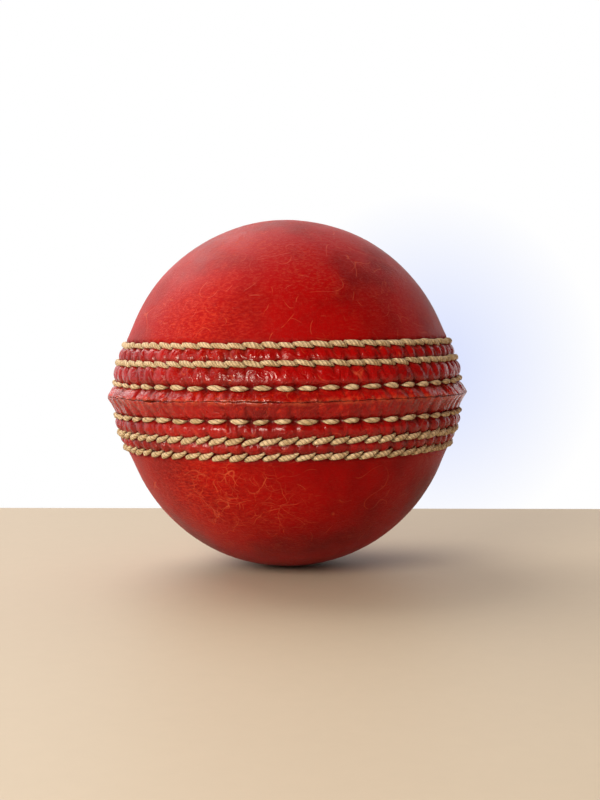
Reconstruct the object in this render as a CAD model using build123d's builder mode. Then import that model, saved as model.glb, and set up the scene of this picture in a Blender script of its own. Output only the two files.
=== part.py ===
"""Cricket ball with a two-piece leather cover, hand stitched through a raised lip.

Millimetres. The origin is the ball's centre, Z runs from pole to pole and the seam lies in the XY plane.
From the outside in: six rows of stitches, two leather cups, a yarn winding, six cork pads, a second
winding, six more pads, a third winding and the cork nucleus.
"""

import os
from math import cos, radians, sin, sqrt

from build123d import *

# Cover
ball_height = 72.0  # pole to pole
dome_offset = 1.5  # each cup's dome is centred this far from the seam plane
leather_thickness = 4.6  # at the poles
belly_rise = 1.7  # how far the belly at the seam stands out from the domes
belly_radius = 24.4  # curvature of the belly, from the lip to the outer rows
lip_flare = 1.3  # how far the lip stands out from the belly
lip_edge = 0.4  # height of the lip's plain edge on each cup
lip_foot = 2.4  # height at which the lip leaves the belly

# Stitch rows: heights above the seam plane, and how many stitches go round
lip_row_height = 3.35
middle_row_height = 7.1
outer_row_height = 10.4
lip_stitches = 52
middle_stitches = 66
outer_stitches = 66

# Thread
thread_diameter = 1.1
thread_gap = 0.1  # between the two passes that share one awl hole
bend_allowance = 0.2  # a bend's radius is this much over the thread's
hole_clearance = 0.05  # all round the thread
channel_clearance = 0.1  # all round a stitch in its channel
stitch_depth = 1.2  # how far the ends of a middle or outer stitch turn down into the channel
lip_wall = 1.4  # leather left outside the lip's passes

# Quilt: the wound core, from the cover inwards
outer_winding_thickness = 4.4
middle_winding_thickness = 4.0
inner_winding_thickness = 4.0
pad_thickness = 2.4
pad_spacing = 0.8  # between neighbouring cork pads
pad_stagger = 45.0  # turn of the outer pads about the ball's axis, so that no two joints line up

# Sizes that follow from those
dome_radius = ball_height / 2 - dome_offset
belly_crown = dome_radius + belly_rise
lip_radius = belly_crown + lip_flare

thread_radius = thread_diameter / 2
bend_radius = thread_radius + bend_allowance
leg_offset = (thread_diameter + thread_gap) / 2
hole_width = thread_diameter + 2 * hole_clearance
channel_width = thread_diameter + 2 * channel_clearance
lip_pass_radius = lip_radius - lip_wall - hole_width / 2

quilt_radius = ball_height / 2 - leather_thickness
outer_pad_radius = quilt_radius - outer_winding_thickness
middle_winding_radius = outer_pad_radius - pad_thickness
inner_pad_radius = middle_winding_radius - middle_winding_thickness
inner_winding_radius = inner_pad_radius - pad_thickness
nucleus_radius = inner_winding_radius - inner_winding_thickness


def belly_at(height):
    """Radius of the belly at a height above the seam plane."""
    return belly_crown - belly_radius + sqrt(belly_radius**2 - height**2)


middle_row_radius = belly_at(middle_row_height)
outer_row_radius = belly_at(outer_row_height)


def at_hole(turn, radius, aside, height):
    """A point set aside, along the seam, from the middle of an awl hole."""
    angle = radians(turn)
    return (
        radius * cos(angle) - aside * sin(angle),
        radius * sin(angle) + aside * cos(angle),
        height,
    )


def one_stitch(count, start, crown):
    """A stitch from one awl hole to the next. Start and crown are each a radius and a height."""
    half_turn = 180 / count
    points = [
        at_hole(-half_turn, start[0], leg_offset, start[1]),
        at_hole(-half_turn, crown[0], leg_offset, crown[1]),
        at_hole(half_turn, crown[0], -leg_offset, crown[1]),
        at_hole(half_turn, start[0], -leg_offset, start[1]),
    ]
    with BuildPart() as stitch:
        with BuildLine() as path:
            FilletPolyline(*points, radius=bend_radius)
        with BuildSketch(Plane(points[0], z_dir=Vector(*points[1]) - Vector(*points[0]))):
            Circle(thread_radius)
        sweep(path=path.line)
    return stitch.part


def one_cork_pad(outer_radius):
    """One of the six pads of a cork layer, on the ball's axis."""
    inner_radius = outer_radius - pad_thickness
    inset = pad_spacing / sqrt(2)
    with BuildPart() as pad:
        Sphere(outer_radius)
        Sphere(inner_radius, mode=Mode.SUBTRACT)
        for height in (inner_radius / 2, outer_radius):
            side = 2 * (height - inset)
            with BuildSketch(Plane.XY.offset(height)):
                Rectangle(side, side)
        loft(mode=Mode.INTERSECT)
    return pad.part


def write_piece(name, piece):
    """Label a finished piece and write its STEP file."""
    piece.label = name
    export_step(piece, f"parts/{name}.step")


os.makedirs("parts", exist_ok=True)

# Leather cups
with BuildPart() as upper_cover:
    with BuildSketch(Plane.XZ):
        with Locations((0, dome_offset)):
            Circle(dome_radius)
        with Locations((belly_crown - belly_radius, 0)):
            Circle(belly_radius)
        with BuildLine():
            Polyline(
                (0, 0),
                (lip_radius, 0),
                (lip_radius, lip_edge),
                (belly_at(lip_foot), lip_foot),
                (0, lip_foot),
                close=True,
            )
        make_face()
        Circle(quilt_radius, mode=Mode.SUBTRACT)
        for bottom, height in (
            (lip_pass_radius - channel_width / 2, lip_row_height),
            (middle_row_radius - stitch_depth - channel_clearance, middle_row_height),
            (outer_row_radius - stitch_depth - channel_clearance, outer_row_height),
        ):
            with Locations((bottom, height)):
                Rectangle(ball_height, channel_width, align=(Align.MIN, Align.CENTER), mode=Mode.SUBTRACT)
        Rectangle(ball_height, ball_height, align=(Align.MIN, Align.MIN), mode=Mode.INTERSECT)
    revolve(axis=Axis.Z)
    with BuildSketch(Plane.XY):
        with PolarLocations(lip_pass_radius, lip_stitches, start_angle=180 / lip_stitches):
            SlotCenterToCenter(2 * leg_offset, hole_width, rotation=90)
    extrude(amount=lip_row_height, mode=Mode.SUBTRACT)

with BuildPart() as lower_cover:
    mirror(upper_cover.part, about=Plane.XY)

write_piece("upper_cover", upper_cover.part)
write_piece("lower_cover", lower_cover.part)

# Stitch rows, each a group of separate stitches. The lip's pass through both lips and meet half-way
rows = {
    "lip": (lip_stitches, (lip_pass_radius, 0), (lip_pass_radius, lip_row_height)),
    "middle": (
        middle_stitches,
        (middle_row_radius - stitch_depth, middle_row_height),
        (middle_row_radius, middle_row_height),
    ),
    "outer": (
        outer_stitches,
        (outer_row_radius - stitch_depth, outer_row_height),
        (outer_row_radius, outer_row_height),
    ),
}
for name, row in rows.items():
    stitch = one_stitch(*row)
    with BuildPart() as upper_stitches:
        with PolarLocations(0, row[0]):
            add(stitch)
    with BuildPart() as lower_stitches:
        mirror(upper_stitches.part, about=Plane.XY)
    write_piece(f"upper_{name}_stitches", upper_stitches.part)
    write_piece(f"lower_{name}_stitches", lower_stitches.part)

# Yarn windings
windings = {
    "outer": (quilt_radius, outer_pad_radius),
    "middle": (middle_winding_radius, inner_pad_radius),
    "inner": (inner_winding_radius, nucleus_radius),
}
for name, (outer_radius, inner_radius) in windings.items():
    with BuildPart() as winding:
        Sphere(outer_radius)
        Sphere(inner_radius, mode=Mode.SUBTRACT)
    write_piece(f"{name}_yarn_winding", winding.part)

# Cork pads, six to a layer
pad_turns = [(0, 0, 0), (90, 0, 0), (180, 0, 0), (270, 0, 0), (0, 90, 0), (0, 270, 0)]
for name, pad_radius, stagger in (("outer", outer_pad_radius, pad_stagger), ("inner", inner_pad_radius, 0)):
    pad = one_cork_pad(pad_radius)
    for number, turn in enumerate(pad_turns, start=1):
        with BuildPart() as cork_pad:
            with Locations(Location((0, 0, 0), (0, 0, stagger))):
                add(pad, rotation=turn)
        write_piece(f"{name}_cork_pad_{number}", cork_pad.part)

# Cork nucleus
with BuildPart() as core_nucleus:
    Sphere(nucleus_radius)

write_piece("core_nucleus", core_nucleus.part)
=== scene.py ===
"""A worn leather ball, hand stitched through a raised lip, around its wound cork core.

The seam lies level. Turns are measured round the ball from +X, and heights from the seam's plane.
"""

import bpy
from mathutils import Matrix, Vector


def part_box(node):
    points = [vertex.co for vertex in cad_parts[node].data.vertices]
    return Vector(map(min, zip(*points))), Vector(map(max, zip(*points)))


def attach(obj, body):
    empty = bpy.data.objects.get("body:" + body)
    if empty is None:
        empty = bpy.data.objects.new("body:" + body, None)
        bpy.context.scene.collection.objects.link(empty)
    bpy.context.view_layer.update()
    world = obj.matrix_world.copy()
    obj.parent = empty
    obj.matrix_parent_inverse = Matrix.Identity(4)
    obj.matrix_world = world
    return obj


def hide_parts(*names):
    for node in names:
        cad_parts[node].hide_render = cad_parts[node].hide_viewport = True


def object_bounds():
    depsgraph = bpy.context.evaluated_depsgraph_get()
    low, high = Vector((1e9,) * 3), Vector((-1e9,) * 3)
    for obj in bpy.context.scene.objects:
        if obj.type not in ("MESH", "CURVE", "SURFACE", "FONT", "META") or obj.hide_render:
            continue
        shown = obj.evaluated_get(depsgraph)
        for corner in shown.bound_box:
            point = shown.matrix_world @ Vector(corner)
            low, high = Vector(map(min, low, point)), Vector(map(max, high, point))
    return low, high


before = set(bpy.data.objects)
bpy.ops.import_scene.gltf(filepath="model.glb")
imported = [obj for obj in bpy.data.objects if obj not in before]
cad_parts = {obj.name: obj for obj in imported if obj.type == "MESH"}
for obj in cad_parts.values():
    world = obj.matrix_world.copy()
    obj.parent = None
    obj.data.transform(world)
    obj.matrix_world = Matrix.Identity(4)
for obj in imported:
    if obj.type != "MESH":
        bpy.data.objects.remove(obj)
cad_box = [list(corner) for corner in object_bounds()]

import math
import random

import bmesh
import bpy
from bpy.props import FloatProperty, FloatVectorProperty, IntProperty, PointerProperty
from bpy.types import Operator, Panel, PropertyGroup
from mathutils import Matrix, Vector, noise

bl_info = {
    "name": "Stitched leather ball",
    "version": (1, 0, 0),
    "blender": (4, 5, 0),
    "location": "3D View > Sidebar > Ball",
    "description": "Covers, stitches and wound core of a hand-stitched leather ball",
    "category": "Add Mesh",
}

MM = 0.001
TAU = math.tau
FRONT = -math.pi / 2  # the turn of the ball's front, which faces -Y
NICK = FRONT - 0.78  # where the lip's edge is torn
SECTORS = 12  # a cup is made of so many like sectors
INSIDE_STEPS = 8  # faces of a cup's outline from the pole inside to the joint
BAND_STEPS = 62  # from the joint to just past the rows
DOME_STEPS = 24  # from there to the pole outside

# How far the sewing works on the leather
ROW_REACH = 3.6 * MM  # above and below a row
CREASE_HALF = 1.25 * MM  # half width of a crease
CREASE_RUN = 2.6 * MM  # length of a crease, away from its hole
DOME_CREASE_RUN = 0.5 * MM  # the same, towards the dome
HOLE_WIDTH = 0.50 * MM
LEAN_UPPER = 0.30  # slant of the upper cup's creases
LEAN_LOWER = -0.25
PLEAT_UPPER = 0.34 * MM  # depth of the pleats on the upper lip
PLEAT_LOWER = 0.12 * MM

PAST_ROWS = 3.2 * MM  # how far past its last row the sewing pulls the leather
EDGE_DEPTH = 1.2 * MM  # how far in from the lip its edge is worn
JOINT_HEIGHT = 2.6 * MM  # height up to which the leather follows the joint
JOINT_DEPTH = 4 * MM  # over which it starts to, from the quilt outwards
RAW_HEIGHT = 0.9 * MM  # height of the raw edge

TABLE_FRONT = -900 * MM

# Play
DENTS = 62  # broad dents to the metre
DENT_PLACE = Vector((0, 0, 4.7))  # shifts them about the ball
RIPPLES = 310  # ripples to the metre
RIPPLE = 0.03 * MM  # their height

# Threads and their play
SHANK = 1.1 * MM  # thickness of the thread in the frame
JITTER = 0.09  # how far an awl hole strays, in stitches
STRAY = 0.09 * MM  # how far a stitch lies off its row
DIVE = 0.75 * MM  # how deep a stitch's ends go in
FLATTENED = 0.88  # thickness of a stitch over its width

# Where the frame has the ball
LOW, HIGH = (Vector(corner) for corner in cad_box)
POLE = HIGH.z
LIP = HIGH.x
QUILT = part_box("outer_yarn_winding")[1][2]


def colour(name, description, value):
    """A colour setting."""
    return FloatVectorProperty(
        name=name, description=description, subtype="COLOR", size=3, min=0, max=1, default=value
    )


def length(name, description, millimetres):
    """A length setting, given in millimetres and kept in metres."""
    return FloatProperty(
        name=name, description=description, unit="LENGTH", precision=5, default=millimetres * MM
    )


class LeatherSettings(PropertyGroup):
    """Sizes and colours of the two leather cups."""

    dome_offset: length("Dome offset", "Height of each dome's centre over the seam's plane", 1.5)
    belly_rise: length("Belly rise", "How far the belly at the seam stands out from the domes", 1.7)
    belly_radius: length("Belly radius", "Curvature of the belly from the lip to the outer rows", 24.4)
    lip_foot: length("Lip foot", "Height at which the lip leaves the belly", 2.4)
    joint_gap: length("Joint gap", "Half the gap between the two cups", 0.05)
    joint_round: length("Joint rounding", "Rounding of each cup's edge at the joint", 0.4)
    groove_width: length("Groove width", "Half width of the hollow that a row pulls in the leather", 0.8)
    pillow: length("Pillow", "How far the leather swells between two rows", 0.28)
    crease: length("Crease", "Depth of the crease that runs from each awl hole", 0.68)
    hole_depth: length("Awl hole depth", "Depth of the dimple round each awl hole", 0.55)
    sewn_height: length("Sewn height", "Height to which the sewn leather kept its polish", 10.5)
    dent: length("Dents", "Depth of the broad dents of play", 0.16)
    around: IntProperty(name="Around", description="Faces round each cup", default=900, min=120)
    red: colour("Red", "Polished leather", (0.38, 0.0005, 0.0002))
    deep_red: colour("Deep red", "Leather that kept its polish", (0.22, 0.0003, 0.0002))
    scuffed: colour("Scuffed", "Leather rubbed through its polish", (0.68, 0.026, 0.006))
    hide: colour("Hide", "Bare hide in cracks and scratches", (0.70, 0.11, 0.038))
    # Grime is dirt plus painted shade in the awl holes, grooves and creases of the sewing
    grime_and_shade: colour("Grime", "Dirt in holes and creases", (0.035, 0.010, 0.006))


class ThreadSettings(PropertyGroup):
    """Sizes and colours of the stitches."""

    thickness: length("Thickness", "Diameter of the waxed thread", 1.22)
    ply_pitch: length("Ply pitch", "Distance along the thread from one ply to the next", 0.78)
    sides: IntProperty(name="Sides", description="Faces round a stitch", default=9, min=6)
    rings: IntProperty(name="Rings", description="Faces along a stitch", default=8, min=4)
    clean: colour("Clean", "Waxed thread", (0.82, 0.62, 0.36))
    worn: colour("Worn", "Thread browned by handling", (0.44, 0.28, 0.11))
    # The thread's dirt colour is dirt plus painted shade between the plies and on the stitch ends
    dirt_and_shade: colour("Dirt", "Dirt between the plies", (0.09, 0.045, 0.015))


class QuiltSettings(PropertyGroup):
    """Colours of the wound core."""

    yarn: colour("Yarn", "Worsted yarn", (0.60, 0.54, 0.43))
    yarn_shade: colour("Yarn shade", "Yarn between two strands", (0.22, 0.17, 0.11))
    cork: colour("Cork", "Cork", (0.42, 0.24, 0.11))
    cork_dark: colour("Cork grain", "Dark grains of the cork", (0.12, 0.055, 0.025))
    nucleus: colour("Nucleus", "Cork and rubber", (0.14, 0.075, 0.04))


class StageSettings(PropertyGroup):
    """The table, the light and the camera."""

    distance: length("Distance", "From the ball's centre to the camera", 288)
    elevation: FloatProperty(
        name="Elevation", description="Camera's angle over level", subtype="ANGLE",
        default=math.radians(2.7),
    )
    lean: FloatProperty(
        name="Lean", description="Camera's turn about its own view", subtype="ANGLE",
        default=math.radians(0.8),
    )
    lens: FloatProperty(name="Lens", description="Focal length in millimetres", default=61.9)
    aim_right: length("Aim right", "How far the camera aims to the right of the ball's centre", 2.6)
    aim_down: length("Aim down", "How far the camera aims below the ball's centre", 1.5)
    table_back: length("Table back", "From the ball's centre to the table's back edge", 89)
    table_skew: FloatProperty(
        name="Table skew", description="Slope of the table's back edge", default=-0.13
    )
    table: colour("Table", "Table top", (0.51, 0.425, 0.305))
    backdrop: colour("Backdrop", "Wall behind the table", (1.0, 1.0, 1.0))
    # The shade is a painted shadow of the ball on the wall
    shade: colour("Shade", "Cool shade on the wall, right of the ball", (0.71, 0.765, 0.99))
    room: colour("Room", "Room in front of the ball", (0.30, 0.215, 0.19))
    mirrored_room: colour("Mirrored room", "The room as the leather mirrors it", (0.05, 0.03, 0.025))


class Row:
    """A row of stitches: its place, from the frame, and how its maker sewed it."""

    def __init__(self, cover, name, count, shift, sway, slant, span, depth, seed):
        self.node = f"{cover}_{name}_stitches"
        self.side = 1 if cover == "upper" else -1
        self.count = count
        self.slant = slant  # climb of each stitch to the right, as a share of its span
        self.span = span  # length of a stitch over its pitch
        self.depth = depth  # of the groove under it
        self.seed = seed
        self.open = name == "lip"
        self.hole_share = 0.45 if self.open else 1.0
        low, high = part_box(self.node)
        thread = SHANK if self.open else high[2] - low[2]
        outermost = high[2] if self.side > 0 else -low[2]
        self.level = outermost - thread / 2 + shift
        self.sway = sway  # how much nearer the seam it runs at the front than at the back
        draw = random.Random(seed)
        self.phase = 0.35 if self.open else 0.0
        self.jitter = [draw.uniform(-JITTER, JITTER) for _ in range(count)]
        self.pull = [draw.uniform(0.45, 1.30) for _ in range(count)]

    def height(self, turn):
        """Height of the row at a turn, over the seam's plane and away from it."""
        wander = ring_noise(turn, 9, self.seed) * 0.12 * MM
        return self.level - self.sway * math.cos(turn - FRONT) + wander

    def hole(self, number):
        """Turn of an awl hole."""
        return (number + self.phase + self.jitter[number % self.count]) / self.count * TAU

    def nearest(self, turn):
        """The nearest awl hole's number, and how far along the seam it is in stitches."""
        place = turn / TAU * self.count - self.phase
        number = round(place)
        offsets = [place - n - self.jitter[n % self.count] for n in (number - 1, number, number + 1)]
        best = min(range(3), key=lambda i: abs(offsets[i]))
        return (number - 1 + best) % self.count, offsets[best]


ROWS = (
    Row("upper", "outer", 66, 0.15 * MM, 0.0, -0.15, 1.38, 0.45 * MM, 11),
    Row("upper", "middle", 66, 0.0, 0.0, -0.15, 1.38, 0.45 * MM, 12),
    Row("upper", "lip", 52, -0.40 * MM, 0.45 * MM, -0.03, 0.88, 0.70 * MM, 13),
    Row("lower", "lip", 52, 0.45 * MM, 0.12 * MM, 0.03, 0.88, 0.70 * MM, 14),
    Row("lower", "middle", 66, 0.20 * MM, 0.0, 0.25, 1.36, 0.50 * MM, 15),
    Row("lower", "outer", 66, 0.0, 0.0, 0.25, 1.36, 0.50 * MM, 16),
)


def ring_noise(turn, bumps, seed, height=0.0):
    """Smooth noise that closes round the ball, with about so many bumps to the turn."""
    reach = bumps / TAU
    return noise.noise(Vector((reach * math.cos(turn), reach * math.sin(turn), height + 7.31 * seed)))


def bell(distance, width):
    """A smooth bump, 1 at no distance."""
    return math.exp(-((distance / width) ** 2))


def outline(leather, height):
    """Radius of a cup's plain outline at a height over the seam's plane."""
    centre = leather.dome_offset
    dome = math.sqrt(max((POLE - centre) ** 2 - (height - centre) ** 2, 0))
    crown = POLE - centre + leather.belly_rise
    belly = crown - leather.belly_radius + math.sqrt(max(leather.belly_radius**2 - height**2, 0))
    if height >= leather.lip_foot:
        return max(dome, belly)
    at_foot = crown - leather.belly_radius + math.sqrt(leather.belly_radius**2 - leather.lip_foot**2)
    return at_foot + (LIP - at_foot) * (1 - height / leather.lip_foot) ** 1.15


class Meridian:
    """What the sewing does along one line from pole to pole, worked out once for all its points."""

    def __init__(self, leather, rows, turn):
        self.turn = turn
        self.levels = [row.height(turn) for row in rows]
        self.pitches = [TAU * outline(leather, level) / row.count for row, level in zip(rows, self.levels)]
        self.holes = [row.nearest(turn)[1] * pitch for row, pitch in zip(rows, self.pitches)]
        self.joint = joint_line(turn)
        self.tightness = 0.60 + 0.65 * abs(math.cos(turn))  # the leather is pulled least at front and back
        self.edge_wear = max(0.55 + 0.9 * ring_noise(turn, 45, 33) + 0.4 * ring_noise(turn, 200, 35), 0.08)
        self.edge_wear += 2.2 * bell(turn - NICK, 0.035)


def band_shape(leather, rows, line, height):
    """How far the sewing moves a cup's surface out at a point, and how much dirt and painted shade lie
    there.
    """
    out, dirt_and_shade, deepest = 0.0, 0.0, 0.0
    for row, level, pitch, from_hole in zip(rows, line.levels, line.pitches, line.holes):
        along = height - level
        if abs(along) > ROW_REACH:
            continue
        lean = along * (LEAN_UPPER if row.side > 0 else LEAN_LOWER) / LIP
        creased, offset = row.nearest(line.turn + lean)
        groove = bell(along, leather.groove_width)
        run = DOME_CREASE_RUN if row is rows[-1] and along > 0 else CREASE_RUN
        fold = max(1 - abs(offset) * pitch / CREASE_HALF, 0) ** 1.7
        crease = fold * bell(along, run) * row.pull[creased]
        hole = bell(math.hypot(from_hole, along), HOLE_WIDTH) * row.hole_share
        out -= row.depth * groove + leather.hole_depth * hole
        # Dirt and painted shade in the row's groove and round its awl hole
        dirt_and_shade += 0.62 * groove + 0.8 * hole
        deepest = max(deepest, crease)
    deepest *= line.tightness
    out -= leather.crease * deepest
    # Dirt and painted shade in the deepest creases
    dirt_and_shade += 1.2 * max(deepest - 0.18, 0)
    for low, high in zip(line.levels, line.levels[1:]):
        middle, half = (low + high) / 2, (high - low) / 2
        swell = max(1 - ((height - middle) / half) ** 2, 0)
        if swell:
            out += leather.pillow * swell * (1 + 0.7 * ring_noise(line.turn, 60, 21, middle * 300))
    if height < line.levels[-1] + 1.0 * MM:
        out += 0.14 * MM * ring_noise(line.turn, 170, 22, height * 350)
        out += 0.06 * MM * ring_noise(line.turn, 400, 23, height * 1100)
    if height < line.levels[0]:
        pleat = abs(ring_noise(line.turn + 0.3 * height / LIP, 110, 24, height * 90))
        deep = (PLEAT_UPPER if rows[0].side > 0 else PLEAT_LOWER) * line.tightness
        out -= deep * max(1 - 4 * pleat, 0) * bell(height - 1.2 * MM, 1.3 * MM)
    return out, min(dirt_and_shade, 1)


def joint_line(turn):
    """Height of the joint between the cups, where hand work and play have moved it."""
    return (
        0.10 * MM * math.cos(turn - FRONT)
        + 0.26 * MM * ring_noise(turn, 14, 31)
        + 0.16 * MM * ring_noise(turn, 110, 32)
        + 0.12 * MM * ring_noise(turn, 380, 34)
    )


def cup_profile(leather):
    """Outline points of a cup from the pole inside, across the joint, to the pole outside."""
    band_top = max(row.level for row in ROWS) + 1.6 * MM
    angles = [step / INSIDE_STEPS * math.pi / 2 for step in range(INSIDE_STEPS + 1)]
    inside = [(QUILT * math.sin(angle), QUILT * math.cos(angle)) for angle in angles]
    joint = [(QUILT + (LIP - QUILT) * share, 0.0) for share in (0.3, 0.6, 0.85, 0.96)]
    heights = [band_top * (step / BAND_STEPS) ** 1.04 for step in range(BAND_STEPS + 1)]
    band = [(outline(leather, height), height) for height in heights]
    dome_radius = POLE - leather.dome_offset
    start = math.asin((band_top - leather.dome_offset) / dome_radius)
    dome = []
    for step in range(1, DOME_STEPS + 1):
        angle = start + (math.pi / 2 - start) * step / DOME_STEPS
        dome.append((dome_radius * math.cos(angle), leather.dome_offset + dome_radius * math.sin(angle)))
    dome[-1] = (0.0, POLE)
    return inside + joint + band + dome


def plain_cup(leather):
    """A plain cup: its outline spun through one sector, and the sector set round the axis."""
    sector = bmesh.new()
    verts = [sector.verts.new((radius, 0, height)) for radius, height in cup_profile(leather)]
    edges = [sector.edges.new(pair) for pair in zip(verts, verts[1:])]
    bmesh.ops.spin(
        sector, geom=verts + edges, cent=(0, 0, 0), axis=(0, 0, 1), angle=TAU / SECTORS,
        steps=leather.around // SECTORS,
    )
    mesh = bpy.data.meshes.new("cup_sector")
    sector.to_mesh(mesh)
    sector.free()
    cup = bmesh.new()
    one_sector = Matrix.Rotation(TAU / SECTORS, 3, "Z")
    for _ in range(SECTORS):
        bmesh.ops.rotate(cup, cent=(0, 0, 0), matrix=one_sector, verts=cup.verts)
        cup.from_mesh(mesh)
    bpy.data.meshes.remove(mesh)
    bmesh.ops.remove_doubles(cup, verts=cup.verts, dist=0.002 * MM)
    bmesh.ops.recalc_face_normals(cup, faces=cup.faces)
    return cup


def sew_cup(leather, bm, side):
    """Press the sewing, the joint's wear and the dents of play into a plain cup."""
    rows = sorted((row for row in ROWS if row.side == side), key=lambda row: row.level)
    top_row = rows[-1].level
    lines = {}
    # Each point's share of dirt and painted shade, for the leather's grime colour
    dirt_and_shade_layer = bm.verts.layers.float.new("grime_and_shade")
    raw_layer = bm.verts.layers.float.new("raw_edge")
    for vert in bm.verts:
        radius, height = math.hypot(vert.co.x, vert.co.y), vert.co.z
        if math.hypot(radius, height) < QUILT + 0.5 * MM:  # the inside stays plain
            vert.co.z *= side
            continue
        turn = math.atan2(vert.co.y, vert.co.x)
        column = round(turn / TAU * leather.around) % leather.around
        if column not in lines:
            lines[column] = Meridian(leather, rows, turn)
        line = lines[column]
        out, dirt_and_shade = 0.0, 0.0
        if 0 < height < top_row + PAST_ROWS:
            out, dirt_and_shade = band_shape(leather, rows, line, height)
        near_edge = max(1 - height / leather.joint_round, 0)
        if radius > LIP - EDGE_DEPTH:
            out -= leather.joint_round * near_edge**2 * line.edge_wear
            dirt_and_shade = max(dirt_and_shade, near_edge * min(line.edge_wear * 1.2, 1))
        spot = Vector((vert.co.x, vert.co.y, height * side))
        out += leather.dent * (noise.noise(spot * DENTS + DENT_PLACE) - 0.5)
        out += RIPPLE * noise.noise(spot * RIPPLES)
        normal = Vector((radius, height - leather.dome_offset if height > top_row else height * 1.3))
        normal.normalize()
        new_radius = radius + out * normal.x if radius > 0.01 * MM else 0.0
        height += out * normal.y
        reach = max(1 - height / JOINT_HEIGHT, 0) * min(max((radius - QUILT) / JOINT_DEPTH, 0), 1)
        level = (height + leather.joint_gap) * side + line.joint * reach
        vert.co = (new_radius * math.cos(turn), new_radius * math.sin(turn), level)
        vert[dirt_and_shade_layer] = dirt_and_shade
        vert[raw_layer] = max(1 - height / RAW_HEIGHT, 0)
    bmesh.ops.recalc_face_normals(bm, faces=bm.faces)


def piece_from(bm, name, materials, slot, *nodes):
    """Make a finished mesh a piece of the ball that stands for its CAD nodes."""
    for face in bm.faces:
        face.smooth = True
    mesh = bpy.data.meshes.new(name)
    bm.to_mesh(mesh)
    bm.free()
    for material in materials:
        mesh.materials.append(material)
    piece = bpy.data.objects.new(name, mesh)
    bpy.context.scene.collection.objects.link(piece)
    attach(piece, "root")
    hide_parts(*nodes)


def put(tree, kind, options=None, **sockets):
    """Add a shader node. A socket's value is a constant or another node's output.

    Sockets go by name, with _ for a space, or by number after an n.
    """
    node = tree.nodes.new(f"ShaderNode{kind}")
    for key, value in (options or {}).items():
        setattr(node, key, value)
    for key, value in sockets.items():
        numbered = key[0] == "n" and key[1:].isdigit()
        socket = node.inputs[int(key[1:]) if numbered else key.replace("_", " ")]
        if isinstance(value, bpy.types.NodeSocket):
            tree.links.new(value, socket)
        else:
            socket.default_value = value
    return node


def math_of(tree, operation, first, second=0.0):
    """A sum, product or other operation on two values."""
    return put(tree, "Math", {"operation": operation}, n0=first, n1=second).outputs[0]


def times(tree, first, second):
    """The product of two values."""
    return math_of(tree, "MULTIPLY", first, second)


def plus(tree, first, second):
    """The sum of two values."""
    return math_of(tree, "ADD", first, second)


def minus(tree, first, second):
    """One value less another."""
    return math_of(tree, "SUBTRACT", first, second)


def larger(tree, first, second):
    """The larger of two values."""
    return math_of(tree, "MAXIMUM", first, second)


def blend_of(tree, share, first, second):
    """One colour turning into another as share goes from 0 to 1."""
    first, second = (c if isinstance(c, bpy.types.NodeSocket) else (*c, 1) for c in (first, second))
    return put(tree, "Mix", {"data_type": "RGBA"}, n0=share, n6=first, n7=second).outputs[2]


def stretch_of(tree, value, low, high, to_low=0.0, to_high=1.0):
    """A value stretched from one range to another and held to it."""
    return put(
        tree, "MapRange", Value=value, From_Min=low, From_Max=high, To_Min=to_low, To_Max=to_high
    ).outputs[0]


def noise_of(tree, place, scale, detail=3.0, roughness=0.55, distortion=0.0):
    """Noise with so many bumps to the millimetre."""
    return put(
        tree, "TexNoise", Vector=place, Scale=scale, Detail=detail, Roughness=roughness,
        Distortion=distortion,
    ).outputs[0]


def place_of(tree, stretch=(1, 1, 1), turn=(0, 0, 0), shift=(0, 0, 0)):
    """The object's own coordinates in millimetres, stretched, turned and shifted."""
    coordinates = put(tree, "TexCoord").outputs["Object"]
    scale = tuple(share / MM for share in stretch)
    return put(tree, "Mapping", Vector=coordinates, Scale=scale, Rotation=turn, Location=shift).outputs[0]


def new_finish(name):
    """A material with only a shader and its output."""
    material = bpy.data.materials.new(name)
    material.use_nodes = True
    tree = material.node_tree
    tree.nodes.clear()
    shader = put(tree, "BsdfPrincipled")
    output = put(tree, "OutputMaterial")
    tree.links.new(shader.outputs[0], output.inputs[0])
    return material, tree, shader


def spot_of(tree, centre, reach):
    """1 at a place on the ball, in millimetres, fading to 0 at the reach."""
    away = put(tree, "VectorMath", {"operation": "DISTANCE"}, n0=place_of(tree), n1=centre).outputs["Value"]
    return stretch_of(tree, away, reach, 0.0)


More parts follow.
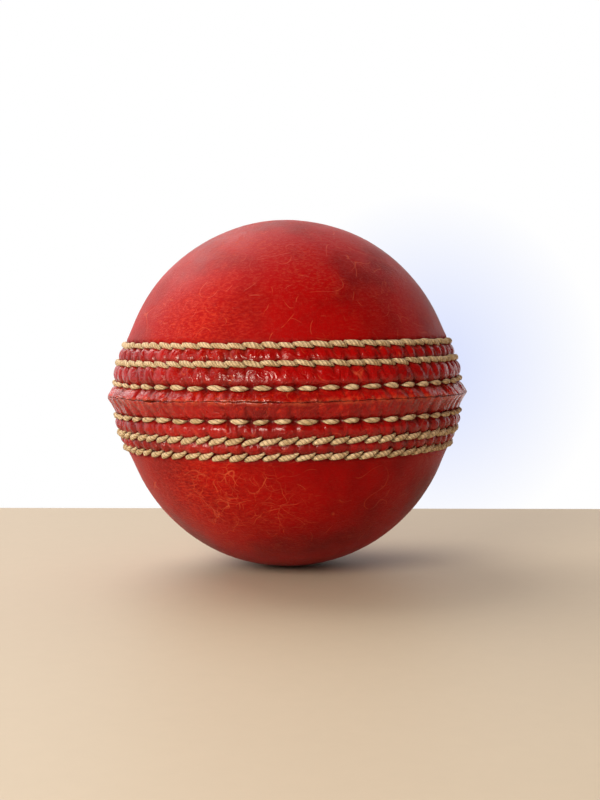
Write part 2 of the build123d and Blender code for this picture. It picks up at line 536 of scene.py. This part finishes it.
def leather_finish(leather, name, sewn, shine, smooth):
    """Red leather, scuffed, scratched and cracked by play, with dirt and painted shade in the sewing, and
    worn with a painted highlight on the front's left.

    Where it is sewn it kept its polish and is crumpled by the pull of the thread.
    """
    material, tree, shader = new_finish(name)
    place = place_of(tree)
    play = 0.25 if sewn else 1.0  # how much of the wear of play shows
    # Dirt and painted shade in the sewing, stored with the cups
    grime_and_shade = put(tree, "Attribute", {"attribute_name": "grime_and_shade"}).outputs["Fac"]

    # Cracks are the edges of bent cells, and show only in patches
    warp = put(tree, "TexNoise", Vector=place, Scale=0.22, Detail=1.5, Roughness=0.5).outputs[1]
    bend = (4.5, 4.5, 4.5)
    bent = put(tree, "VectorMath", {"operation": "MULTIPLY_ADD"}, n0=warp, n1=bend, n2=place).outputs[0]
    cells = [
        put(tree, "TexVoronoi", {"feature": "DISTANCE_TO_EDGE"}, Vector=bent, Scale=scale).outputs[0]
        for scale in (0.19, 0.42)
    ]
    wide = stretch_of(tree, cells[0], 0.017, 0.005)
    fine = stretch_of(tree, cells[1], 0.03, 0.01, 0, 0.6)
    crack = larger(tree, wide, fine)
    patchy = stretch_of(tree, noise_of(tree, place, 0.30, 3.0, 0.6), 0.40, 0.56)
    scattered = stretch_of(tree, noise_of(tree, place, 0.09), 0.56, 0.72, 0, 0.4)
    low_left = times(tree, spot_of(tree, (-10, -27, -20), 16), 1.6)
    cracked = times(tree, plus(tree, scattered, low_left), patchy)
    crack = times(tree, crack, stretch_of(tree, cracked, 0, 1))

    # Hair-thin curved scratches follow the contours of broad noise
    scratch = None
    for scale, shift in ((0.13, (0, 0, 0)), (0.20, (40, 9, 2))):
        contour = noise_of(tree, place_of(tree, shift=shift), scale, 0.0)
        line = math_of(tree, "ABSOLUTE", minus(tree, contour, 0.46))
        patch = stretch_of(tree, noise_of(tree, place_of(tree, shift=shift), 0.30, 1.0), 0.52, 0.60)
        line = times(tree, stretch_of(tree, line, 0.008, 0.003), patch)
        scratch = larger(tree, scratch, line) if scratch else line

    # Scuffs are short fibres, thickest away from the ball's front
    streaks = noise_of(tree, place_of(tree, (1.1, 1.1, 2.8), (0.5, 0.9, 0)), 1.0, 4.0, 0.75)
    cross = noise_of(tree, place_of(tree, (1.1, 1.1, 2.6), (-0.8, -0.6, 0), (31, 7, 3)), 1.0, 4.0, 0.75)
    fibre = larger(tree, stretch_of(tree, streaks, 0.52, 0.66), stretch_of(tree, cross, 0.54, 0.68))
    polished = spot_of(tree, (4, -36, -2), 34)
    worn = stretch_of(tree, noise_of(tree, place, 0.06, 4.0, 0.65), 0.38, 0.62, 0.15, 1)
    worn = times(tree, worn, stretch_of(tree, polished, 0, 0.7, 1, 0.04))
    scuff = times(tree, fibre, worn)

    # The lip is rubbed in patches, and bare along its raw edge
    level = put(tree, "SeparateXYZ", Vector=place).outputs[2]
    lip = stretch_of(tree, math_of(tree, "ABSOLUTE", level), 2.8, 1.2)
    rubs = noise_of(tree, place_of(tree, (0.9, 0.9, 0.5), (0, 0.3, 0)), 1.0, 4.0, 0.75)
    lip_wear = times(tree, lip, stretch_of(tree, rubs, 0.52, 0.62))
    raw = put(tree, "Attribute", {"attribute_name": "raw_edge"}).outputs["Fac"]
    raw = times(tree, raw, stretch_of(tree, noise_of(tree, place, 0.8, 4.0, 0.7), 0.43, 0.56))

    # Sewn leather shows less of the wear
    scuff = times(tree, scuff, play)
    crack = times(tree, crack, play)

    # The front's left is rubbed through, above the sewing and below it, and painted brighter there where
    # the light falls: partly wear, partly a painted highlight
    rubbed_and_lit = larger(tree, spot_of(tree, (-16, -28, 15), 17), spot_of(tree, (-18, -26, -17), 20))
    rubbed_and_lit = times(tree, rubbed_and_lit, stretch_of(tree, streaks, 0.40, 0.62))

    # Colour, from the dye up to the dirt and painted shade
    tone = noise_of(tree, place, 0.07, 3.0)
    base = blend_of(tree, stretch_of(tree, tone, 0.32, 0.56), leather.deep_red, leather.red)
    base = blend_of(tree, times(tree, rubbed_and_lit, 0.6), base, leather.scuffed)
    base = blend_of(tree, times(tree, scuff, 0.30), base, leather.hide)
    base = blend_of(tree, times(tree, lip_wear, 0.60), base, leather.scuffed)
    base = blend_of(tree, times(tree, raw, 0.60), base, leather.hide)
    base = blend_of(tree, times(tree, crack, 0.62), base, leather.hide)
    base = blend_of(tree, times(tree, scratch, 0.35), base, leather.hide)
    # Dirt and painted shade, broken up by noise
    dirt_and_shade_share = times(tree, grime_and_shade, stretch_of(tree, noise_of(tree, place, 1.2, 4.0), 0.25, 0.75, 0.35, 1))
    base = blend_of(tree, times(tree, dirt_and_shade_share, 0.8), base, leather.grime_and_shade)
    tree.links.new(base, shader.inputs["Base Color"])

    # Scuffs and dirt take the shine off
    rough = stretch_of(tree, noise_of(tree, place, 0.2, 4.0), 0.3, 0.7, smooth, smooth + 0.12)
    rough = plus(tree, rough, times(tree, scuff, 0.16))
    rough = plus(tree, rough, times(tree, grime_and_shade, 0.12))
    tree.links.new(rough, shader.inputs["Roughness"])

    # Pores and grain stand out, cracks, scratches and fibres lie in, and the sewn leather is crumpled
    pores = put(tree, "TexVoronoi", {"feature": "F1"}, Vector=place, Scale=1.9, Randomness=1.0).outputs[0]
    grain = noise_of(tree, place, 2.0, 5.0, 0.7)
    height = plus(tree, times(tree, pores, 0.35), grain)
    height = minus(tree, height, times(tree, crack, 0.8))
    height = minus(tree, height, times(tree, scratch, 1.0))
    height = minus(tree, height, times(tree, fibre, 0.5))
    bump = put(tree, "Bump", Strength=0.5, Distance=0.14 * MM * play, Height=height)
    if sewn:
        crumple = noise_of(tree, bent, 0.55, 2.0, 0.5, 1.0)
        folded = put(tree, "Bump", Strength=0.6, Distance=0.6 * MM, Height=crumple)
        tree.links.new(folded.outputs[0], bump.inputs["Normal"])
    tree.links.new(bump.outputs[0], shader.inputs["Normal"])
    shader.inputs["IOR"].default_value = 1.48
    shader.inputs["Specular IOR Level"].default_value = shine
    shader.inputs["Sheen Weight"].default_value = 0.06 * play
    shader.inputs["Sheen Roughness"].default_value = 0.40
    shader.inputs["Sheen Tint"].default_value = (1.0, 0.80, 0.78, 1)
    return material


def thread_finish(thread):
    """Waxed, plied linen thread, browned by handling. Its UV map runs along the thread and round it."""
    material, tree, shader = new_finish("waxed_thread")
    place = place_of(tree)
    parts = put(tree, "SeparateXYZ", Vector=put(tree, "UVMap", {"uv_map": "lay"}).outputs[0])
    along, around = parts.outputs[0], parts.outputs[1]
    round_plies = times(tree, around, 3 * TAU)
    twist = plus(tree, times(tree, along, TAU), round_plies)
    ply = stretch_of(tree, math_of(tree, "SINE", twist), -1, 1)
    fibre = noise_of(tree, place, 5.0, 4.0, 0.65)
    worn = stretch_of(tree, noise_of(tree, place, 0.6, 5.0, 0.7), 0.42, 0.62)
    base = blend_of(tree, times(tree, worn, 0.8), thread.clean, thread.worn)
    # Painted shade between the plies, in the colour for dirt and painted shade
    shade = stretch_of(tree, plus(tree, ply, times(tree, fibre, 0.5)), 0.55, 0.15)
    base = blend_of(tree, times(tree, shade, 0.75), base, thread.dirt_and_shade)
    # Painted shade, with dirt, on the ends that dive into the awl holes
    deep = put(tree, "Attribute", {"attribute_name": "depth"}).outputs["Fac"]
    base = blend_of(tree, times(tree, deep, 0.85), base, thread.dirt_and_shade)
    tree.links.new(base, shader.inputs["Base Color"])
    tree.links.new(stretch_of(tree, fibre, 0.3, 0.7, 0.55, 0.8), shader.inputs["Roughness"])
    height = plus(tree, ply, times(tree, fibre, 0.6))
    bump = put(tree, "Bump", Strength=0.9, Distance=0.14 * MM, Height=height)
    tree.links.new(bump.outputs[0], shader.inputs["Normal"])
    return material


def yarn_finish(quilt):
    """Worsted yarn, wound one way and then another."""
    material, tree, shader = new_finish("wound_yarn")
    windings = (
        ((0.4, 0.2, 0), (0, 0, 0)),
        ((-0.9, 0.6, 0.4), (9, 4, 2)),
        ((1.3, -0.5, 0.8), (3, 8, 5)),
    )
    layers = []
    for turn, shift in windings:
        wave = put(
            tree, "TexWave", {"wave_type": "RINGS", "rings_direction": "SPHERICAL"},
            Vector=place_of(tree, (1, 0.15, 1), turn, shift), Scale=0.28, Distortion=1.6, Detail=2.0,
        )
        layers.append(wave.outputs[1])
    choice = stretch_of(tree, noise_of(tree, place_of(tree), 0.11, 1.0), 0.48, 0.52)
    strand = put(tree, "Mix", {"data_type": "FLOAT"}, n0=choice, n2=layers[0], n3=layers[1]).outputs[0]
    choice = stretch_of(tree, noise_of(tree, place_of(tree, shift=(20, 5, 9)), 0.10, 1.0), 0.52, 0.56)
    strand = put(tree, "Mix", {"data_type": "FLOAT"}, n0=choice, n2=strand, n3=layers[2]).outputs[0]
    fuzz = noise_of(tree, place_of(tree), 3.5, 4.0)
    base = blend_of(tree, stretch_of(tree, strand, 0.1, 0.7), quilt.yarn_shade, quilt.yarn)
    tree.links.new(base, shader.inputs["Base Color"])
    tree.links.new(stretch_of(tree, fuzz, 0.3, 0.7, 0.75, 0.95), shader.inputs["Roughness"])
    height = plus(tree, strand, times(tree, fuzz, 0.3))
    bump = put(tree, "Bump", Strength=0.8, Distance=0.4 * MM, Height=height)
    tree.links.new(bump.outputs[0], shader.inputs["Normal"])
    return material


def grain_finish(name, light, dark, cells, rough):
    """Pressed cork grains, in a light and a dark colour."""
    material, tree, shader = new_finish(name)
    place = place_of(tree)
    grains = put(tree, "TexVoronoi", {"feature": "F1"}, Vector=place, Scale=cells)
    tint = put(tree, "SeparateColor", Color=grains.outputs["Color"]).outputs[0]
    speck = stretch_of(tree, noise_of(tree, place, cells * 2.2, 4.0, 0.7), 0.60, 0.70)
    share = plus(tree, times(tree, tint, 0.45), times(tree, speck, 0.5))
    tree.links.new(blend_of(tree, share, light, dark), shader.inputs["Base Color"])
    tree.links.new(stretch_of(tree, tint, 0, 1, rough, rough + 0.15), shader.inputs["Roughness"])
    height = minus(tree, grains.outputs["Distance"], speck)
    bump = put(tree, "Bump", Strength=0.6, Distance=0.25 * MM, Height=height)
    tree.links.new(bump.outputs[0], shader.inputs["Normal"])
    return material


def stitch_blank(thread):
    """A straight stitch of unit length, with its lay from 0 to 1 along it and once round it."""
    bm = bmesh.new()
    bmesh.ops.create_cone(
        bm, cap_ends=True, segments=thread.sides, radius1=0.5, radius2=0.5, depth=1
    )
    long_edges = [edge for edge in bm.edges if abs(edge.verts[0].co.z - edge.verts[1].co.z) > 0.5]
    bmesh.ops.subdivide_edges(bm, edges=long_edges, cuts=thread.rings - 1, use_grid_fill=True)
    lay = bm.loops.layers.uv.new("lay")
    bm.verts.layers.float.new("depth")
    for face in bm.faces:
        centre = face.calc_center_median()
        face_angle = math.atan2(centre.y, centre.x)
        for loop in face.loops:
            angle = math.atan2(loop.vert.co.y, loop.vert.co.x)
            angle = face_angle + (angle - face_angle + math.pi) % TAU - math.pi
            loop[lay].uv = (loop.vert.co.z + 0.5, angle / TAU)
    mesh = bpy.data.meshes.new("stitch_blank")
    bm.to_mesh(mesh)
    bm.free()
    return mesh


class Seat:
    """How the stitches of a kind of row lie on the leather."""

    def __init__(self, stout, twist, proud, taper, swell, bend):
        self.stout = stout  # thickness over the thread's
        self.twist = twist  # share of the thread's twist that shows
        self.proud = proud  # how far the middle of the thread stands out
        self.taper = taper  # how much thicker the first end is than the last
        self.swell = swell  # the lower it is, the fuller the ends
        self.bend = bend  # the lower it is, the sharper the ends turn in


LIP_SEAT = Seat(0.88, 0.5, -0.12 * MM, 0.0, 0.80, 0.45)
UPPER_SEAT = Seat(0.95, 1, 0.02 * MM, -0.12, 0.62, 0.55)
LOWER_SEAT = Seat(0.95, 1, 0.02 * MM, 0.40, 0.50, 0.55)


def lay_stitch(bm, blank, thread, leather, row, number, draw):
    """Bend a blank into one stitch, from its awl hole to the next."""
    old_verts, old_faces = len(bm.verts), len(bm.faces)
    bm.from_mesh(blank)
    bm.verts.ensure_lookup_table()
    bm.faces.ensure_lookup_table()
    lay, depth = bm.loops.layers.uv["lay"], bm.verts.layers.float["depth"]

    first, last = row.hole(number), row.hole(number + 1)
    middle, gap = (first + last) / 2, last - first
    level = row.height(middle) * row.side
    radius = outline(leather, abs(level))
    slope = math.asin(min(abs(level) * 0.9 / leather.belly_radius, 1)) * row.side
    outward = Vector((math.cos(slope), 0, math.sin(slope)))
    across = Vector((-math.sin(slope), 0, math.cos(slope)))
    spread = gap * radius * row.span * draw.uniform(0.95, 1.05)
    seat = LIP_SEAT if row.open else UPPER_SEAT if row.side > 0 else LOWER_SEAT
    thick = thread.thickness / 2 * draw.uniform(0.90, 1.06) * seat.stout
    climb = spread * (row.slant + draw.uniform(-0.06, 0.06))
    level += draw.uniform(-STRAY, STRAY)
    lobe, twists = draw.uniform(0, TAU), spread / thread.ply_pitch * seat.twist
    for vert in bm.verts[old_verts:]:
        share = vert.co.z + 0.5
        arch = max(math.sin(math.pi * share), 0)
        full = (arch**seat.swell * 0.87 + 0.13) * (1 + seat.taper * (0.5 - share))
        angle = math.atan2(vert.co.y, vert.co.x)
        size = thick * full * (1 + 0.07 * math.cos(3 * (angle - lobe) + share * TAU))
        drop = -DIVE * (1 - arch**seat.bend)
        bow = climb * (share - 0.5) * (1 + 0.35 * math.cos(TAU * share))
        turn = middle + (share - 0.5) * spread / radius
        out = seat.proud + drop + size * math.cos(angle) * FLATTENED
        local = outward * out + across * (bow + size * math.sin(angle))
        reach = radius + local.x
        vert.co = (reach * math.cos(turn), reach * math.sin(turn), level + local.z)
        # Share of painted shade and dirt, rising towards the ends that dive into the leather
        vert[depth] = min(max((0.34 - arch) / 0.34, 0), 1)
    for face in bm.faces[old_faces:]:
        for loop in face.loops:
            loop[lay].uv.x *= twists


class BALL_OT_covers(Operator):
    """Make the two leather cups, pulled in by the sewing and worn by play"""

    bl_idname = "ball.covers"
    bl_label = "Leather cups"

    def execute(self, context):
        leather = context.scene.ball_leather
        materials = (
            leather_finish(leather, "played_leather", False, 0.09, 0.38),
            leather_finish(leather, "sewn_leather", True, 0.42, 0.16),
        )
        for side, node in ((1, "upper_cover"), (-1, "lower_cover")):
            bm = plain_cup(leather)
            sew_cup(leather, bm, side)
            for face in bm.faces:
                face.material_index = int(abs(face.calc_center_median().z) < leather.sewn_height)
            piece_from(bm, f"{node}_leather", materials, "leather", node)
        return {"FINISHED"}


class BALL_OT_stitches(Operator):
    """Sew the six rows, each stitch a little different from the next"""

    bl_idname = "ball.stitches"
    bl_label = "Stitch rows"

    def execute(self, context):
        thread, leather = context.scene.ball_thread, context.scene.ball_leather
        material = thread_finish(thread)
        blank = stitch_blank(thread)
        for row in ROWS:
            draw = random.Random(row.seed * 7)
            bm = bmesh.new()
            for number in range(row.count):
                lay_stitch(bm, blank, thread, leather, row, number, draw)
            bmesh.ops.recalc_face_normals(bm, faces=bm.faces)
            piece_from(bm, f"{row.node}_thread", [material], "thread", row.node)
        bpy.data.meshes.remove(blank)
        return {"FINISHED"}


class BALL_OT_quilt(Operator):
    """Give the windings, the cork pads and the nucleus their finishes"""

    bl_idname = "ball.quilt"
    bl_label = "Wound core"

    def execute(self, context):
        quilt = context.scene.ball_quilt
        yarn = yarn_finish(quilt)
        cork = grain_finish("pressed_cork", quilt.cork, quilt.cork_dark, 0.8, 0.7)
        nucleus = grain_finish("cork_and_rubber", quilt.nucleus, quilt.cork, 1.1, 0.55)
        for name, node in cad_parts.items():
            finish = yarn if "winding" in name else cork if "pad" in name else nucleus
            if "winding" in name or "pad" in name or name == "core_nucleus":
                node.data.materials.clear()
                node.data.materials.append(finish)
        return {"FINISHED"}


class BALL_OT_stage(Operator):
    """Set the camera, the table and the soft light"""

    bl_idname = "ball.stage"
    bl_label = "Table, light and camera"

    def execute(self, context):
        stage = context.scene.ball_stage
        self.set_camera(context, stage)
        self.lay_table(stage)
        self.set_light(context, stage)
        return {"FINISHED"}

    def set_camera(self, context, stage):
        """Point the camera at the ball, a little off its centre."""
        data = bpy.data.cameras.new("camera")
        data.lens = stage.lens
        data.clip_start, data.clip_end = 10 * MM, 10
        camera = bpy.data.objects.new("camera", data)
        context.scene.collection.objects.link(camera)
        back = Vector((0, -math.cos(stage.elevation), math.sin(stage.elevation)))
        facing = (-back).to_track_quat("-Z", "Y").to_matrix().to_4x4()
        target = facing @ Vector((stage.aim_right, -stage.aim_down, 0))
        aim = target - back * stage.distance
        facing = aim.to_track_quat("-Z", "Y").to_matrix().to_4x4()
        lean = Matrix.Rotation(-stage.lean, 4, "Z")
        camera.matrix_world = Matrix.Translation(back * stage.distance) @ facing @ lean
        context.scene.camera = camera
        context.scene.view_settings.view_transform = "Standard"

    def lay_table(self, stage):
        """A plain pale table top, level with the ball's lowest point."""
        bm = bmesh.new()
        bmesh.ops.create_grid(bm, x_segments=1, y_segments=1, size=1)
        front, back = TABLE_FRONT, stage.table_back
        for vert in bm.verts:
            vert.co.y = back + stage.table_skew * vert.co.x if vert.co.y > 0 else front
            vert.co.z = LOW.z
        mesh = bpy.data.meshes.new("table")
        bm.to_mesh(mesh)
        bm.free()
        material, tree, shader = new_finish("table_top")
        grain = noise_of(tree, place_of(tree), 0.35, 4.0, 0.6)
        lighter = tuple(min(c * 1.05, 1) for c in stage.table)
        tree.links.new(blend_of(tree, grain, stage.table, lighter), shader.inputs["Base Color"])
        shader.inputs["Roughness"].default_value = 0.55
        shader.inputs["Specular IOR Level"].default_value = 0.3
        mesh.materials.append(material)
        table = bpy.data.objects.new("table", mesh)
        bpy.context.scene.collection.objects.link(table)

    def set_light(self, context, stage):
        """A bright backdrop, a dim room in front and three lights.

        The window only lights, the glint only shows in what mirrors it, and the skylight does both.
        """
        world = bpy.data.worlds.new("studio")
        context.scene.world = world
        world.use_nodes = True
        tree = world.node_tree
        tree.nodes.clear()
        direction = put(tree, "TexCoord").outputs["Generated"]
        parts = put(tree, "SeparateXYZ", Vector=direction)
        # The wall is bright behind the ball, and to the left of it
        bright = minus(tree, parts.outputs[1], times(tree, parts.outputs[0], 0.45))
        bright = stretch_of(tree, bright, 0.02, 0.42)
        # Painted shadow of the ball on the wall, right of it, in the shade colour
        away = put(tree, "VectorMath", {"operation": "DISTANCE"}, n0=direction, n1=(0.10, 0.99, -0.03))
        painted_wall_shadow = stretch_of(tree, away.outputs["Value"], 0.125, 0.02)
        wall = blend_of(tree, painted_wall_shadow, stage.backdrop, stage.shade)
        mirrored = put(tree, "LightPath").outputs["Is Glossy Ray"]
        room = blend_of(tree, mirrored, stage.room, stage.mirrored_room)
        shade = blend_of(tree, bright, room, wall)
        background = put(tree, "Background", Color=shade, Strength=1.0)
        output = put(tree, "OutputWorld")
        tree.links.new(background.outputs[0], output.inputs[0])
        lights = (
            ("window", (-0.26, -0.42, 0.22), 0.30, 2.3, (1.0, 0.95, 0.88), "visible_glossy"),
            ("glint", (-0.30, -0.50, 0.08), 0.055, 3.0, (1.0, 0.90, 0.76), "visible_diffuse"),
            ("skylight", (-0.24, 0.30, 0.44), 0.50, 2.3, (1.0, 0.93, 0.90), None),
        )
        for name, place, size, power, tint, unseen in lights:
            data = bpy.data.lights.new(name, "AREA")
            data.shape = "DISK"
            data.size, data.energy, data.color = size, power, tint
            light = bpy.data.objects.new(name, data)
            if unseen:
                setattr(light, unseen, False)
            context.scene.collection.objects.link(light)
            light.matrix_world = Matrix.Translation(place) @ (
                (-Vector(place)).to_track_quat("-Z", "Y").to_matrix().to_4x4()
            )


class BALL_PT_panel(Panel):
    """The ball's sizes, colours and operators"""

    bl_idname = "BALL_PT_panel"
    bl_label = "Stitched leather ball"
    bl_space_type = "VIEW_3D"
    bl_region_type = "UI"
    bl_category = "Ball"

    def draw(self, context):
        for operator, settings in STEPS:
            box = self.layout.box()
            box.operator(operator.bl_idname)
            group = getattr(context.scene, settings)
            for name in type(group).__annotations__:
                box.prop(group, name)


STEPS = (
    (BALL_OT_stage, "ball_stage"),
    (BALL_OT_covers, "ball_leather"),
    (BALL_OT_stitches, "ball_thread"),
    (BALL_OT_quilt, "ball_quilt"),
)
GROUPS = {
    "ball_stage": StageSettings,
    "ball_leather": LeatherSettings,
    "ball_thread": ThreadSettings,
    "ball_quilt": QuiltSettings,
}
CLASSES = (*GROUPS.values(), *(operator for operator, _ in STEPS), BALL_PT_panel)


def register():
    for cls in CLASSES:
        bpy.utils.register_class(cls)
    for name, group in GROUPS.items():
        setattr(bpy.types.Scene, name, PointerProperty(type=group))


def unregister():
    for name in GROUPS:
        delattr(bpy.types.Scene, name)
    for cls in reversed(CLASSES):
        bpy.utils.unregister_class(cls)


def main():
    """Make the stage and the ball."""
    register()
    bpy.ops.ball.stage()
    bpy.ops.ball.covers()
    bpy.ops.ball.stitches()
    bpy.ops.ball.quilt()


if __name__ == "__main__":
    main()
